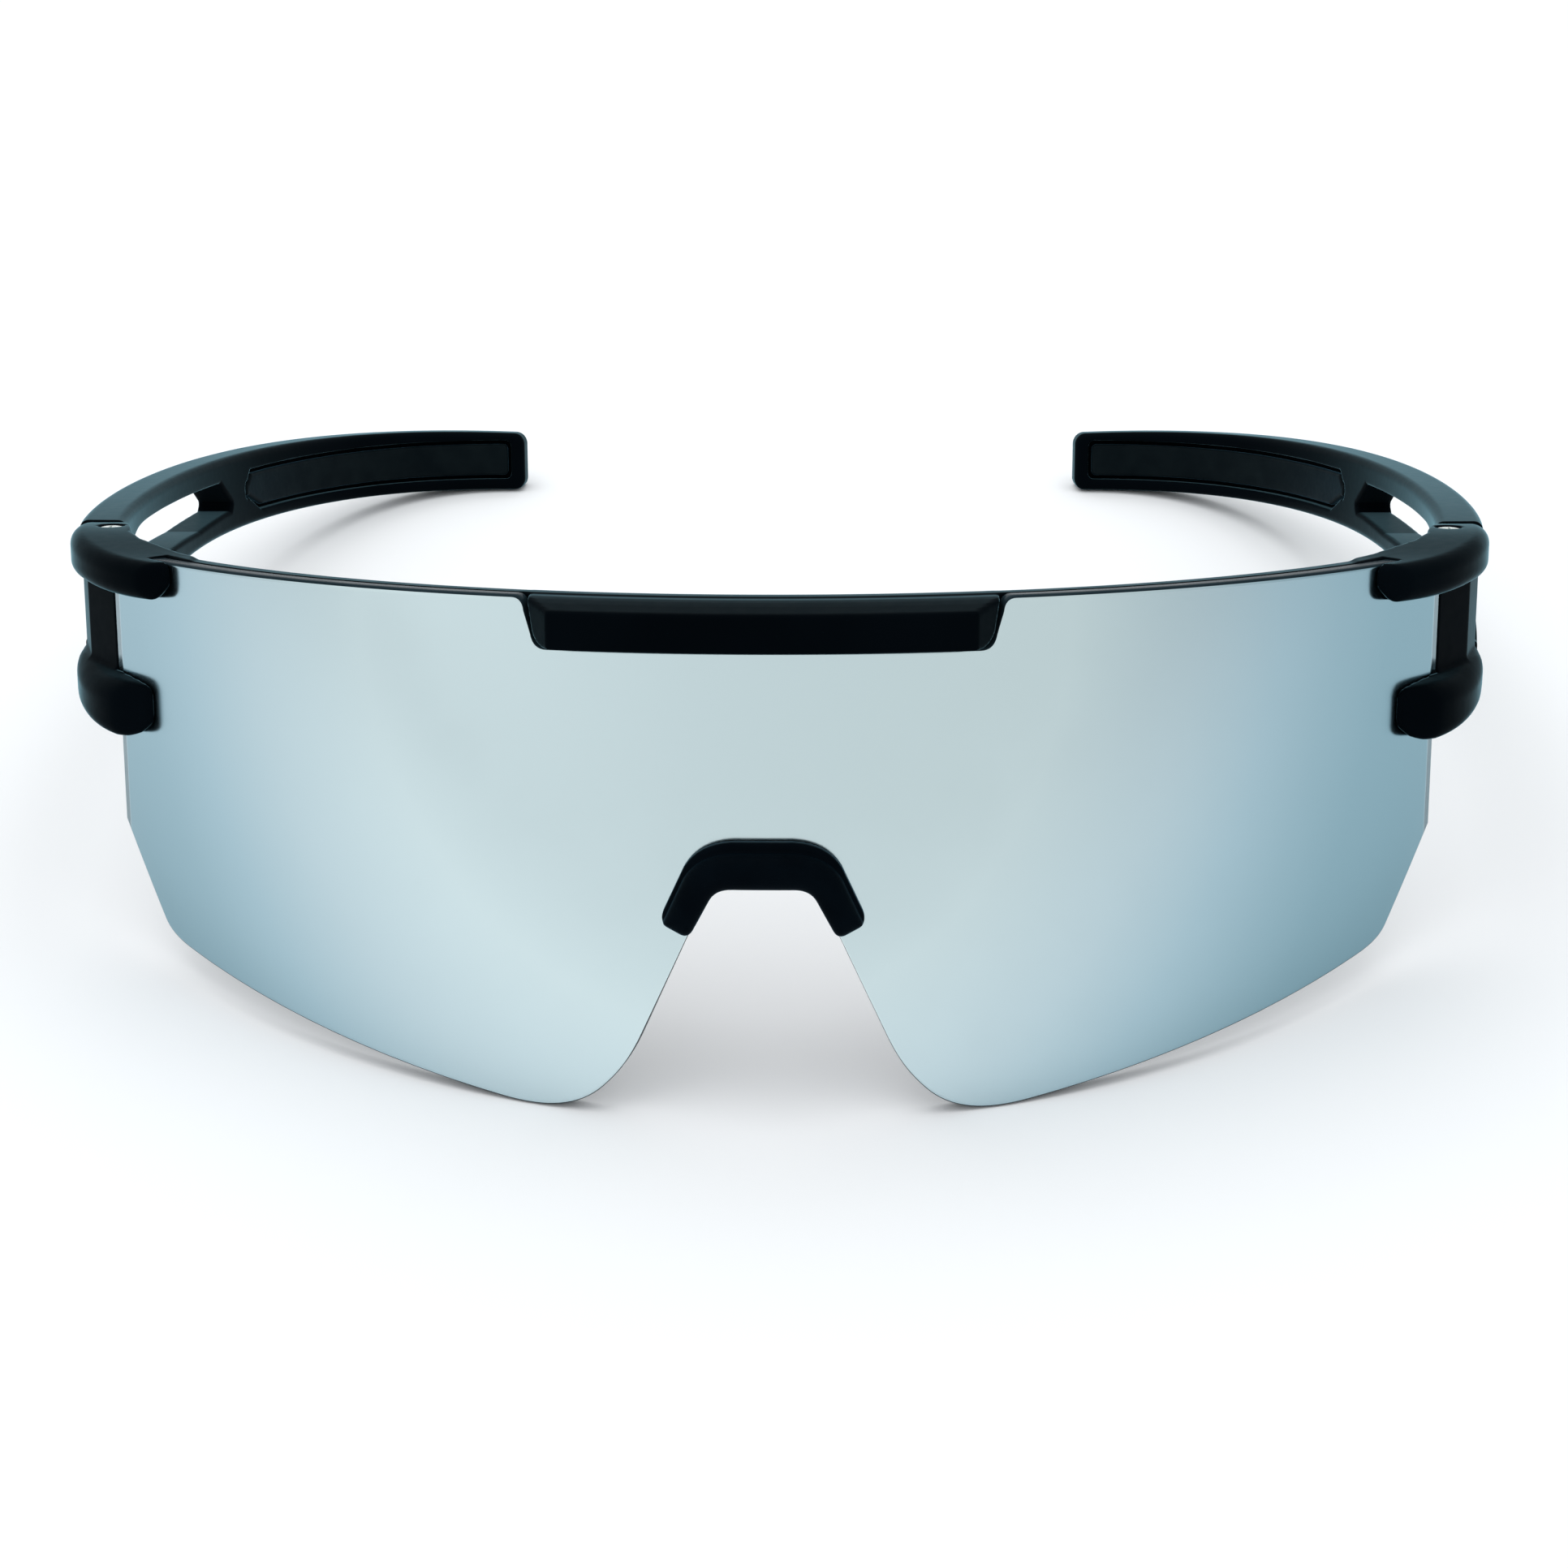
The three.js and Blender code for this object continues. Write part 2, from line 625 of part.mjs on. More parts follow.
const MATERIALS = {
  frame: new THREE.MeshStandardMaterial({ color: 0x15191d, roughness: 0.55, metalness: 0 }),
  lens: new THREE.MeshStandardMaterial({ color: 0xa9bfca, roughness: 0.12, metalness: 0.9 }),
  rubber: new THREE.MeshStandardMaterial({ color: 0x0b0e13, roughness: 0.7, metalness: 0 }),
  steel: new THREE.MeshStandardMaterial({ color: 0xc9ccce, roughness: 0.3, metalness: 1 }),
  brass: new THREE.MeshStandardMaterial({ color: 0xb5964c, roughness: 0.35, metalness: 1 }),
};

const design = new THREE.Group();

function add(name, manifold, material) {
  const mesh = new THREE.Mesh(geometryOf(manifold), material);
  mesh.name = name;
  design.add(mesh);
  return mesh;
}

// The wearer's left piece as modelled, and its mirror image on the right.
function addPair(name, manifold, material) {
  add(name + "_left", manifold, material);
  add(name + "_right", manifold, material).scale.x = -1;
}

add("front_frame", frontFrame(), MATERIALS.frame);
add("shield_lens", shieldLens(), MATERIALS.lens);
add("nose_bridge", noseBridge(), MATERIALS.rubber);
addPair("nose_pad", nosePad(), MATERIALS.rubber);
addPair("temple_arm", temple(), MATERIALS.frame);
addPair("temple_grip", grip(), MATERIALS.rubber);
for (const [level, levels] of Object.entries(CLEVISES)) {
  addPair("hinge_screw_" + level, hingeScrew(levels), MATERIALS.steel);
  addPair("hinge_insert_" + level, hingeInsert(levels), MATERIALS.brass);
}

// Stand the design frame on the table, with the origin under the middle of the whole.
const sunglasses = new THREE.Group();
sunglasses.add(design);
design.rotation.x = -TABLE_TILT;
design.updateMatrixWorld(true);
const extent = new THREE.Box3().setFromObject(design, true);
design.position.set(0, -(extent.min.y + extent.max.y) / 2, -extent.min.z);

export default sunglasses;
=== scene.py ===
"""Wraparound sport sunglasses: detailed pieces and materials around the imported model, in millimetres in the
design frame (X across, Y back from the lens, Z up along the lens), turned into the row frame at the end."""

import math

import bpy
import numpy as np
import openvdb
from mathutils import Matrix, Vector


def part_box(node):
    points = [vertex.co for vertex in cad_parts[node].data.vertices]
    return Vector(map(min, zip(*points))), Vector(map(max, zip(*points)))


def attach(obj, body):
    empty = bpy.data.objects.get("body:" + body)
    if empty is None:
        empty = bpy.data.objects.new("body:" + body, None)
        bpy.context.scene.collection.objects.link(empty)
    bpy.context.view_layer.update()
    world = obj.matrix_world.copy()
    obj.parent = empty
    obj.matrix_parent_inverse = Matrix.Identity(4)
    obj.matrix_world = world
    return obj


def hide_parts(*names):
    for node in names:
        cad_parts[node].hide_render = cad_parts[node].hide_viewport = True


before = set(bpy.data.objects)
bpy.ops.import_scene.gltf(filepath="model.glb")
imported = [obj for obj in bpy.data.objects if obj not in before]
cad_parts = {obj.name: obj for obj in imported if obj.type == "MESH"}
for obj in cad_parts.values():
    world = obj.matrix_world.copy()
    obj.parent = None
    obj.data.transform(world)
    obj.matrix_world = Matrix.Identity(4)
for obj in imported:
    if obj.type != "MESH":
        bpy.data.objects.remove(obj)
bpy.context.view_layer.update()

# ---------------------------------------------------------------- dimensions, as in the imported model

TILT = 0.25515604
HINGE = (69.3, 42.5)
INSERT_MIDDLE = -2.675
LENS_RADIUS, LENS_INNER = 85.0, 83.2
LENS_HALF_WIDTH = 66.5
SLOT_INNER, SLOT_OUTER = 83.17, 85.03
BAR_INNER, BAR_LOW = 81.35, -3.0
BLOCK_RADIUS, BLOCK_HALF, BLOCK_FACE, BLOCK_LOW, BLOCK_BACK = 88.6, 21.35, 19.2, -4.35, 4.5
FRONT_HALF = 73.8
UPPER_LOW, UPPER_HIGH = -3.3, 1.3
UPPER_CLAW = {"tip": (58.6, 23.1), "ridge": (61.5, 22.95)}
LOWER_LOW, LOWER_HIGH, LOWER_RISE, LOWER_SHED = -17.2, -12.2, 1.0, 0.22
LOWER_CLAW = {"tip": (61.6, 26.1), "ridge": (64.7, 26.35)}
SEAM_Y, SEAM = 46.0, 0.16
KNUCKLE = 3.5
PLATE, CLEVIS_SLOT, TONGUE = 1.25, 2.1, 1.9
SCREW_HEAD, SCREW_SHANK = 1.22, 0.7
SCREW_BORE, COUNTERBORE, INSERT_HOLE = 0.9, 1.35, 1.47
TEMPLE_CURVE = [(72.9, 43.2), (76.0, 50.0), (90.0, 163.6), (39.2, 160.0)]
GRIP_START, GRIP_END = 0.531, 0.985
GRIP_LOW, GRIP_HIGH = -6.25, -0.7
WINDOW_REAR = 109.5
NOSE_BACK, NOSE_LIP, NOSE_RADIUS = 81.05, 86.2, 87.6

turn = Matrix.Rotation(-TILT, 4, "X")


def anchor():
    """Where the design frame's origin lies in the row frame, in millimetres, found from one hinge insert."""
    low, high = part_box("hinge_insert_upper_left")
    middle = (low + high) * 1000 / 2
    return middle - turn @ Vector((*HINGE, INSERT_MIDDLE))


place = Matrix.Scale(0.001, 4) @ Matrix.Translation(anchor()) @ turn


def above_table(x, y, z):
    """Height over the table, in millimetres, of a point in the design frame."""
    a, b, c, d = (1000 * v for v in place[2])
    return a * x + b * y + c * z + d


# ---------------------------------------------------------------- distance fields, negative inside

def both(a, b, radius):
    """What is inside a and inside b, with the edge between them rounded."""
    over = np.hypot(np.maximum(a + radius, 0), np.maximum(b + radius, 0))
    return np.minimum(-radius, np.maximum(a, b)) + over


def either(a, b, radius):
    """What is inside a or inside b, with a fillet between them."""
    return -both(-a, -b, radius)


def cut(a, b, radius=0.1):
    """What is inside a and outside b."""
    return both(a, -b, radius)


def between(values, low, high):
    """What lies between two values."""
    return np.maximum(low - values, values - high)


def ease(value, start, end):
    """Rises smoothly from 0 at start to 1 at end."""
    t = np.clip((value - start) / (end - start), 0, 1)
    return t * t * (3 - 2 * t)


def polygon(x, y, points):
    """Distance to a closed outline."""
    nearest = np.full(np.broadcast(x, y).shape, 1e9, np.float32)
    inside = np.zeros(nearest.shape, bool)
    for (ax, ay), (bx, by) in zip(points, points[1:] + points[:1]):
        along = ((x - ax) * (bx - ax) + (y - ay) * (by - ay)) / ((bx - ax) ** 2 + (by - ay) ** 2)
        along = np.clip(along, 0, 1)
        away = (x - ax - along * (bx - ax)) ** 2 + (y - ay - along * (by - ay)) ** 2
        nearest = np.minimum(nearest, away)
        if by != ay:
            inside ^= ((ay > y) != (by > y)) & (x < (bx - ax) * (y - ay) / (by - ay) + ax)
    return np.where(inside, -1, 1) * np.sqrt(nearest)


def inset(points, by):
    """A closed outline, drawn either way round, moved inwards by as much as its corners are to be rounded."""
    p = np.array(points, float)
    edge = np.roll(p, -1, 0) - p
    area = np.sum(p[:, 0] * np.roll(p[:, 1], -1) - np.roll(p[:, 0], -1) * p[:, 1])
    inwards = np.stack([-edge[:, 1], edge[:, 0]], 1) * np.sign(area)
    inwards /= np.linalg.norm(edge, axis=1)[:, None]
    before = np.roll(inwards, 1, 0)
    share = 1 + np.sum(inwards * before, 1)
    return [tuple(v) for v in p + by * (inwards + before) / share[:, None]]


def soft_polygon(x, y, points, radius):
    """A closed outline with rounded corners."""
    return polygon(x, y, inset(points, radius)) - radius


def bezier(a, b, c, d, count=10):
    """Points along a cubic curve, both ends included."""
    t = np.linspace(0, 1, count + 1)[:, None]
    a, b, c, d = (np.array(v, float) for v in (a, b, c, d))
    points = (1 - t) ** 3 * a + 3 * (1 - t) ** 2 * t * b + 3 * (1 - t) * t * t * c + t**3 * d
    return [tuple(v) for v in points]


def quadratic(a, b, c, count=8):
    """Points along a curve with one control point, both ends included."""
    a, b, c = (np.array(v, float) for v in (a, b, c))
    return bezier(a, a + (b - a) * 2 / 3, c + (b - c) * 2 / 3, c, count)


def on_arc(radius, x):
    """Design X and Y of a point on a circle round the lens's axis."""
    return x, LENS_RADIUS - math.sqrt(radius * radius - x * x)


def arc_length(x):
    """Distance from the middle, along the lens's front, of the point at x."""
    return math.asin(x / LENS_RADIUS) * LENS_RADIUS


# ---------------------------------------------------------------- meshes

def mesh_object(name, vertices, faces, material, body, slot, stands_for=()):
    """A smooth piece from points in the design frame, riding on its body."""
    mesh = bpy.data.meshes.new(name)
    mesh.from_pydata(vertices.tolist(), [], faces.tolist() if hasattr(faces, "tolist") else faces)
    mesh.transform(place)
    mesh.shade_smooth()
    mesh.materials.append(material)
    piece = bpy.data.objects.new(name, mesh)
    bpy.context.scene.collection.objects.link(piece)
    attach(piece, body)
    if stands_for:
        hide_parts(*stands_for)
    return piece


def skin(field, corner, step, warp):
    """The surface of a field sampled from corner in steps; warp turns its coordinates into design X, Y, Z."""
    grid = openvdb.FloatGrid(background=4.0)
    grid.copyFromArray(np.clip(field / step, -4, 4).astype(np.float32), tolerance=0)
    points, _, quads = grid.convertToPolygons(isovalue=0.0, adaptivity=0.0)
    return warp(*(np.array(corner) + points * step).T), quads


def lattice(step, *ranges):
    """Sampling positions along three axes, shaped to broadcast, and the corner that they start from."""
    shapes = ((-1, 1, 1), (1, -1, 1), (1, 1, -1))
    axes = []
    for (low, high), shape in zip(ranges, shapes):
        axes.append(np.arange(low, high + step, step, dtype=np.float32).reshape(shape))
    return axes, [low for low, _ in ranges]


def round_lens(along, radius, z):
    """Design points from arc length along the lens's front, radius from its axis, and height."""
    angle = along / LENS_RADIUS
    return np.stack([radius * np.sin(angle), LENS_RADIUS - radius * np.cos(angle), z], 1)


def mirrored(vertices, faces):
    return vertices * [-1, 1, 1], faces[:, ::-1]


# ---------------------------------------------------------------- front frame

FRONT_STEP, FRONT_REACH = 0.2, 95.2
BAR_END = 72
SLOT_OPEN_X = 61.3
CREST_RADIUS, CREST_SLOPE = 84.3, 0.19


def brow_bar(radius, along, z):
    section = both(between(radius, BAR_INNER, SLOT_INNER), between(z, BAR_LOW, 0), 0.3)
    return both(section, along - BAR_END, 0.3)


def centre_block(x, y, radius, z):
    front = [on_arc(BLOCK_RADIUS, v) for v in np.linspace(-8, BLOCK_FACE, 12)]
    side = [on_arc(SLOT_OUTER, BLOCK_HALF), on_arc(BAR_INNER, BLOCK_HALF)]
    edge_y = side[-1][1]
    bow = edge_y - BLOCK_BACK
    back = [(v, BLOCK_BACK + bow * (v / BLOCK_HALF) ** 2) for v in np.linspace(18, -8, 10)]
    plan = soft_polygon(x, y, front + side + back, 0.4)
    body = both(plan, between(z, BLOCK_LOW, 0), 0.35)
    body = np.maximum(body, both(x - BLOCK_HALF - 0.17 * z, BLOCK_LOW - z, 1.4))
    slope = z + CREST_SLOPE * np.maximum(radius - CREST_RADIUS, 0)
    return both(body, slope, 0.35)


def meet(a, b, c, d):
    """Where line a-b crosses line c-d."""
    (ax, ay), (bx, by), (cx, cy), (dx, dy) = a, b, c, d
    cross = (bx - ax) * (dy - cy) - (by - ay) * (dx - cx)
    t = ((cx - ax) * (dy - cy) - (cy - ay) * (dx - cx)) / cross
    return ax + t * (bx - ax), ay + t * (by - ay)


def arm_plan(x, y, tip, ridge):
    """An arm round the lens's edge from its claw, whose end face runs from tip to ridge, past the seam.
    Returns the distance to its plan, and how far a point is past the end face."""
    outer = bezier(ridge, (68.5, 27.5), (FRONT_HALF - 0.1, 37), (FRONT_HALF, SEAM_Y), 40)
    behind = on_arc(BAR_INNER, tip[0] - 3.4)
    rear = [(FRONT_HALF, 52), (HINGE[0] + 0.8, 52), (HINGE[0] - 2.3, 41.5), (HINGE[0] - 2.8, 39.3)]
    inner = [on_arc(BAR_INNER, 64.4), on_arc(BAR_INNER, 59.2), behind]
    plan = soft_polygon(x, y, [meet(behind, tip, *outer[:2]), *outer, *rear, *inner], 0.3)
    run = math.hypot(ridge[0] - tip[0], ridge[1] - tip[1])
    ahead = ((ridge[1] - tip[1]) * (x - tip[0]) - (ridge[0] - tip[0]) * (y - tip[1])) / run
    return plan, ahead


def edge_radius(x, y, outer):
    """The arms' outer sides are full and round; behind the lens and inside the hinge they are crisp."""
    radius = np.hypot(x, LENS_RADIUS - y)
    by_lens = 0.3 + (outer - 0.3) * ease(radius, 83, 85.8)
    by_hinge = 0.35 + (outer - 0.35) * ease(x, 67.5, 72)
    share = ease(y, 33, 40)
    return by_lens * (1 - share) + by_hinge * share


def upper_arm(x, y, z):
    plan, ahead = arm_plan(x, y, **UPPER_CLAW)
    high = UPPER_HIGH * ease(y, 22, HINGE[1]) - 0.2 * ease(y, HINGE[1] + 1, 48)
    low = UPPER_LOW - 0.45 * (1 - ease(y, 24, 36))
    arm = both(plan, between(z, low, high), edge_radius(x, y, 1.5))
    arm = both(arm, ahead, 0.7)
    corner = -0.726 * (x - 58.5) - 0.688 * (z + 1.9)
    return both(arm, corner, 0.5)


def lower_arm(x, y, z):
    plan, ahead = arm_plan(x, y, **LOWER_CLAW)
    low = LOWER_LOW - 1.2 * (1 - ease(y, 27, 38))
    high = LOWER_HIGH + 0.1 + (LOWER_RISE - 0.1) * ease(y, 31, 47)
    high = high - LOWER_SHED * np.maximum(np.hypot(x, LENS_RADIUS - y) - LENS_RADIUS, 0)
    arm = both(plan, between(z, low, high), edge_radius(x, y, 1.7))
    front = [(56, -12.9), (60.4, -13.5), (62.5, -12.8), (65.5, -11.9), (67, -11.2)]
    front += [(FRONT_HALF, -11.2), (FRONT_HALF, -13.4)]
    front += quadratic((73.7, -13.6), (73.5, -16), (70.9, -17.35))
    front += [(66, -18.4), (64.6, -18.2), (63.2, -17.6), (62.1, -16.7), (61.2, -16.1), (56, -15.7)]
    return both(both(arm, ahead, 0.9), polygon(x, z, front), 0.7)


def side_post(x, y, z):
    plan = [on_arc(LENS_RADIUS, 65.5), (70.8, 37.7), (72.9, 43.8), (72.9, 45.2), (69.8, 45.2), (68.3, 41)]
    plan += [on_arc(82.35, 65.1), on_arc(82.35, 63.1), on_arc(SLOT_INNER, 64.3)]
    return np.maximum(soft_polygon(x, y, plan, 0.25), between(z, LOWER_HIGH - 1.5, UPPER_LOW + 1.5))


def seam_face(x, y):
    """Beyond the rear of the end piece: flat on the outer side, round the hinge on the inner side."""
    round_hinge = np.hypot(x - HINGE[0], y - HINGE[1]) - KNUCKLE
    return np.where((x < HINGE[0]) & (y > HINGE[1]), round_hinge, y - SEAM_Y)


def clevis_cut(x, y, z, face, way):
    """The slot for the tongue, the counterbore, the screw's bore and the insert's hole of one clevis."""
    depth = (z - face) * way
    from_axis = np.hypot(x - HINGE[0], y - HINGE[1])
    reach = TONGUE + 0.3
    room_x = between(x, HINGE[0] - 9, HINGE[0] + reach)
    room_y = between(y, HINGE[1] - reach, SEAM_Y + 3)
    slot_end = PLATE + CLEVIS_SLOT
    holes = [
        np.maximum(np.maximum(room_x, room_y), between(depth, PLATE, slot_end)),
        np.maximum(from_axis - COUNTERBORE, between(depth, -2, 0.7)),
        np.maximum(from_axis - SCREW_BORE, between(depth, 0, 2)),
        np.maximum(from_axis - INSERT_HOLE, between(depth, slot_end - 0.1, 8)),
    ]
    return np.minimum.reduce(holes)


def lens_slot(radius, along, z):
    """The groove that takes the lens: open at the top in front, and closed over the lens's ends."""
    wall = between(radius, SLOT_INNER, SLOT_OUTER)
    covered = np.maximum(along - arc_length(LENS_HALF_WIDTH) - 0.25, z + 0.3)
    opened = along - arc_length(SLOT_OPEN_X)
    return np.maximum(wall, np.minimum(covered, opened))


def front_frame():
    """One moulding, sampled round the lens's axis on one half and mirrored."""
    ranges = (0, FRONT_REACH), (76.6, 89.6), (-19.4, 2.8)
    (along, radius, z), corner = lattice(FRONT_STEP, *ranges)
    x, y = radius * np.sin(along / LENS_RADIUS), LENS_RADIUS - radius * np.cos(along / LENS_RADIUS)
    end = either(upper_arm(x, y, z), side_post(x, y, z), 0.5)
    end = either(end, lower_arm(x, y, z), 0.5)
    end = both(end, seam_face(x, y), 0.12)
    end = either(end, brow_bar(radius, along, z), 0.3)
    end = cut(end, lens_slot(radius, along, z))
    for face, way in ((UPPER_HIGH, -1), (LOWER_LOW, 1)):
        end = cut(end, clevis_cut(x, y, z, face, way))
    half = either(end, centre_block(x, y, radius, z), 0.2)
    whole = np.concatenate([half[:0:-1], half])
    corner[0] = -(len(half) - 1) * FRONT_STEP
    return skin(whole, corner, FRONT_STEP, round_lens)


# ---------------------------------------------------------------- lens

LENS_RIM, LENS_TOP_RIM = 0.1, 0.22
RIM_BULGE = 0.3
TABLE_GAP = 0.002


def lens_bottom():
    """The lower outline's right half, from the nose cut to the side edge, as points (x, z)."""
    points = [(0, -25.1), (1.5, -25.1)]
    points += quadratic((1.5, -25.1), (4.4, -25.1), (5.7, -28))[1:]
    points += [(7, -31.2), (11.6, -41.2)]
    points += bezier((11.6, -41.2), (12.4, -42.8), (13.2, -44.2), (15, -45.9))[1:]
    points += bezier((15, -45.9), (17.4, -48.2), (20.6, -48.45), (24.5, -47.75), 16)[1:]
    points += bezier((24.5, -47.75), (36, -45.6), (48, -42.6), (58.4, -38.95), 12)[1:]
    points += quadratic((58.4, -38.95), (60.9, -38.1), (61.6, -36.7))[1:]
    return points + [(70.5, -20.3)]


def lens_top():
    """The upper outline's right half, with the notch for the centre block, as points (x, z)."""
    points = [(0, -4.7), (19.6, -4.7)] + quadratic((19.6, -4.7), (20.9, -4.7), (21.1, -3.3))[1:]
    points += [(21.7, -1.2)] + quadratic((21.7, -1.2), (21.8, 0), (22.8, 0))[1:]
    return points + [(70.5, 0)]


def lens_columns():
    """Stations across the lens, close together where its outline is steep."""
    corners = [p[0] for p in lens_bottom() + lens_top() if p[0] < LENS_HALF_WIDTH]
    steep = list(np.arange(5.5, 25, 0.2))
    x = sorted(set(np.round([*corners, *steep, *np.arange(0, 66.4, 0.7), LENS_HALF_WIDTH], 3)))
    return np.array([-v for v in x[:0:-1]] + x)


def shield_lens():
    """Two skins of the cylinder between the outlines, with rounded rims. Returns points, faces and how many
    of the first faces are the mirror-coated front; the last two faces are the lens's ends."""
    x = lens_columns()
    low = np.interp(np.abs(x), *zip(*lens_bottom()))
    high = np.interp(np.abs(x), *zip(*lens_top()))
    rim, top_rim = LENS_RIM, LENS_TOP_RIM
    middle = high - low - rim - top_rim
    share = np.concatenate([[0, 0.006], np.linspace(0.025, 0.975, 39), [0.994, 1]])
    rows = [(LENS_RADIUS, low + rim + middle * s) for s in share]
    rows += [
        (LENS_RADIUS - top_rim * RIM_BULGE, high - top_rim * RIM_BULGE),
        (LENS_RADIUS - top_rim, high),
        (LENS_INNER + top_rim, high),
        (LENS_INNER, high - top_rim),
    ]
    rows += [(LENS_INNER, high - top_rim - middle * s) for s in share[1:-1]]
    rows += [
        (LENS_INNER, low + rim),
        (LENS_INNER + rim, low),
        (LENS_RADIUS - rim, low),
        (LENS_RADIUS - rim * RIM_BULGE, low + rim * RIM_BULGE),
    ]
    along = np.arcsin(x / LENS_RADIUS) * LENS_RADIUS
    vertices = np.concatenate([round_lens(along, radius, z) for radius, z in rows])
    vertices[:, 2] += np.maximum(TABLE_GAP - above_table(*vertices.T), 0) / math.cos(TILT)
    count, columns = len(rows), len(x)
    faces = []
    for i in range(count):
        a, b = i * columns, (i + 1) % count * columns
        faces += [(a + j, a + j + 1, b + j + 1, b + j) for j in range(columns - 1)]
    faces.append([i * columns for i in range(count)])
    faces.append([i * columns + columns - 1 for i in reversed(range(count))])
    return vertices, faces, (len(share) - 1) * (columns - 1)


# ---------------------------------------------------------------- temples

TEMPLE_STEP, GRIP_STEP, TONGUE_STEP = 0.18, 0.15, 0.12
TEMPLE_THICKNESS, TEMPLE_TAPER = 5, 1
TOP_Z, TOP_FALL, TOP_DIP = 1.8, 1.6, 0.5
UNDER_Z, UNDER_DROP, UNDER_POWER = -7.8, 9.6, 5.5
POCKET_DEPTH, GRIP_DEPTH, GRIP_CROWN = 1.3, 1.05, 0.12


def temple_line():
    """The temple's outer face in plan: points at even distances along it, and its direction there."""
    fine = np.array(bezier(*TEMPLE_CURVE, count=4000))
    length = np.concatenate([[0], np.cumsum(np.linalg.norm(np.diff(fine, axis=0), axis=1))])
    return fine, length, np.gradient(fine, axis=0)


LINE, LINE_LENGTH, LINE_WAY = temple_line()


def on_temple(along, depth):
    """Design X and Y of a point behind the temple's outer face."""
    s = np.clip(along, 0, LINE_LENGTH[-1])
    px, py = (np.interp(s, LINE_LENGTH, LINE[:, i]) for i in (0, 1))
    tx, ty = (np.interp(s, LINE_LENGTH, LINE_WAY[:, i]) for i in (0, 1))
    size = np.hypot(tx, ty)
    tx, ty = tx / size, ty / size
    extra = along - s
    return px + extra * tx - ty * depth, py + extra * ty + tx * depth


def temple_point(along, depth, z):
    """Design points from distance along the temple's outer face, depth behind it, and height."""
    return np.stack([*on_temple(along, depth), z], 1)


def thickness(share):
    """The temple's thickness at a share of its length."""
    return TEMPLE_THICKNESS - TEMPLE_TAPER * share


def grip_outline(length, margin):
    """The grip in side view: blunt point at the front, rounded rear."""
    start, end = GRIP_START * length + margin, GRIP_END * length - margin
    low, high = GRIP_LOW + margin, GRIP_HIGH - margin
    return [(start, -3), (start + 2.1, high), (end, high), (end, low), (start + 5.6, low), (start, -3.7)]


def temple_window():
    """The gap between the prongs in side view, from ahead of the seam to a blunt rear end."""
    sill = LOWER_HIGH + LOWER_RISE
    lower = bezier((SEAM_Y + 1.5, sill), (54, -7.6), (70, -6.2), (95, -6.1), 40)
    rear = [(WINDOW_REAR - 0.7, -5.2), (WINDOW_REAR, -4.3), (WINDOW_REAR - 4.5, -1.3)]
    upper = quadratic((65, -1), (55, -1), (SEAM_Y + 4, UPPER_LOW), 20)
    return [(SEAM_Y - 8, UPPER_LOW), (SEAM_Y - 8, sill), *lower, *rear, *upper]


def temple_arm():
    """The temple without its tongues: two prongs that join behind the window, bent round the head."""
    length = LINE_LENGTH[-1]
    ranges = (-0.6, length + 0.6), (-0.7, 6), (-18, 2.6)
    (s, depth, z), corner = lattice(TEMPLE_STEP, *ranges)
    share = np.clip(s / length, 0, 1)
    high = TOP_Z - TOP_FALL * share**3 - TOP_DIP * (1 - share) ** 8
    low = UNDER_Z - UNDER_DROP * (1 - share) ** UNDER_POWER
    slope = UNDER_DROP * UNDER_POWER / length * (1 - share) ** (UNDER_POWER - 1)
    steep = 1 / np.sqrt(1 + slope**2)
    ends = both(np.maximum((low - z) * steep, z - high), s - length, 1.6)
    bar = both(between(depth, 0.01, thickness(share)), ends, 0.95)
    x, y = on_temple(s, depth)
    bar = cut(bar, soft_polygon(y, z, temple_window(), 0.3), 0.45)
    room = np.hypot(x - HINGE[0], y - HINGE[1]) - KNUCKLE - SEAM
    bar = cut(bar, np.minimum(room, y - SEAM_Y - SEAM), 0.15)
    opening = soft_polygon(s, z, grip_outline(length, 0), 1.0)
    pocket = np.maximum(opening, thickness(share) - POCKET_DEPTH - depth)
    bar = cut(bar, pocket, 0.18)
    bar = both(bar, 0.01 - above_table(x, y, z), 0.1)
    return skin(bar, corner, TEMPLE_STEP, temple_point)


def temple_grip():
    """A soft pad with a slight crown, in the temple's pocket."""
    length = LINE_LENGTH[-1]
    ranges = (GRIP_START * length - 1, GRIP_END * length + 1), (2.4, 5.6), (-7.2, 0.2)
    (s, depth, z), corner = lattice(GRIP_STEP, *ranges)
    share = s / length
    crown = GRIP_CROWN * np.clip(1 - ((z + 3.5) / 3) ** 2, 0, 1)
    face = thickness(share) - 0.14 + crown
    body = soft_polygon(s, z, grip_outline(length, 0.58), 0.7)
    pad = both(body, between(depth, thickness(share) - GRIP_DEPTH, face), 0.4)
    return skin(pad, corner, GRIP_STEP, temple_point)


